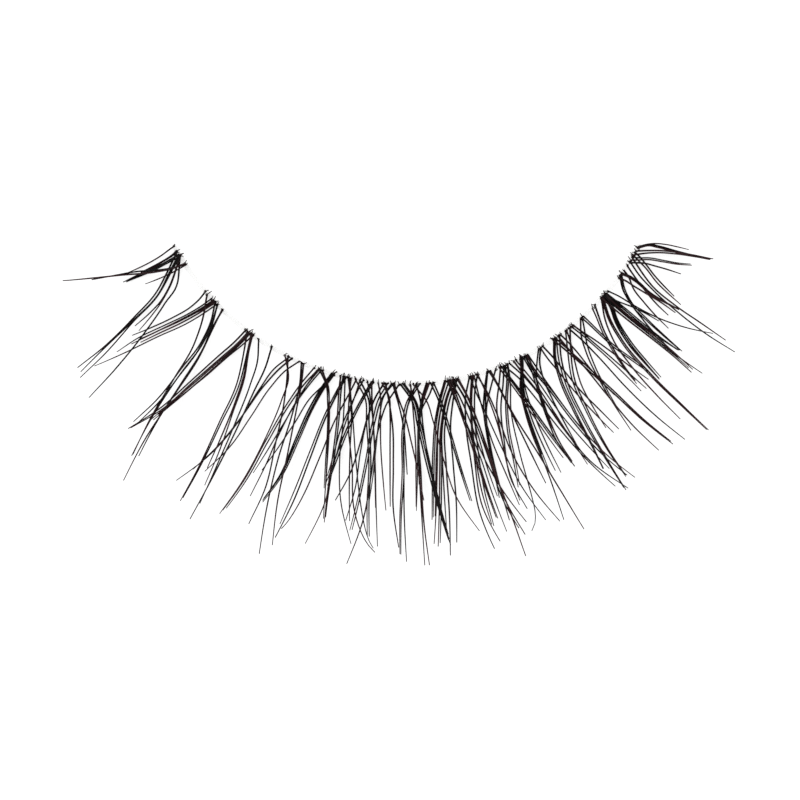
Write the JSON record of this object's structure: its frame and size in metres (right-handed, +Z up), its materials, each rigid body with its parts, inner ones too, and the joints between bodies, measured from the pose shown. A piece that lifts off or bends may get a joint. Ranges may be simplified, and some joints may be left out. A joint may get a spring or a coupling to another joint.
{
  "type": "false eyelash strip",
  "caption": "Curved clear band with wispy dark lash locks that criss-cross and curl up, longer towards the outer corner of the eye.",
  "frame": {"origin": "middle of the clear band's flat underside, the face that takes the glue", "axes": "+X along the strip from the outer corner to the inner corner of the eye, +Y from the lashes towards the eye, +Z up from the glue face, the way the lashes curl"},
  "size_m": [0.0394, 0.0188, 0.0038],
  "materials": {
    "clear_band": "clear and slightly glossy",
    "dark_lash": "satin near-black fibre with a plum tint"
  },
  "bodies": {
    "root": {"lash_band": "clear_band", "lash_lock_01": "dark_lash", "lash_lock_02": "dark_lash", "lash_lock_03": "dark_lash", "lash_lock_04": "dark_lash", "lash_lock_05": "dark_lash", "lash_lock_06": "dark_lash", "lash_lock_07": "dark_lash", "lash_lock_08": "dark_lash", "lash_lock_09": "dark_lash", "lash_lock_10": "dark_lash", "lash_lock_11": "dark_lash", "lash_lock_12": "dark_lash", "lash_lock_13": "dark_lash", "lash_lock_14": "dark_lash", "lash_lock_15": "dark_lash", "lash_lock_16": "dark_lash", "lash_lock_17": "dark_lash", "lash_lock_18": "dark_lash", "lash_lock_19": "dark_lash", "lash_lock_20": "dark_lash", "lash_lock_21": "dark_lash", "lash_lock_22": "dark_lash", "lash_lock_23": "dark_lash", "lash_lock_24": "dark_lash", "lash_lock_25": "dark_lash", "lash_lock_26": "dark_lash", "lash_lock_27": "dark_lash", "lash_lock_28": "dark_lash", "lash_lock_29": "dark_lash", "lash_lock_30": "dark_lash", "lash_lock_31": "dark_lash", "lash_lock_32": "dark_lash", "lash_lock_33": "dark_lash", "lash_lock_34": "dark_lash", "lash_lock_35": "dark_lash", "lash_lock_36": "dark_lash", "lash_lock_37": "dark_lash", "lash_lock_38": "dark_lash", "lash_lock_39": "dark_lash", "lash_lock_40": "dark_lash", "lash_lock_41": "dark_lash", "lash_lock_42": "dark_lash", "lash_lock_43": "dark_lash", "lash_lock_44": "dark_lash", "lash_lock_45": "dark_lash", "lash_lock_46": "dark_lash", "lash_lock_47": "dark_lash", "lash_lock_48": "dark_lash", "lash_lock_49": "dark_lash"}
  },
  "joints": []
}
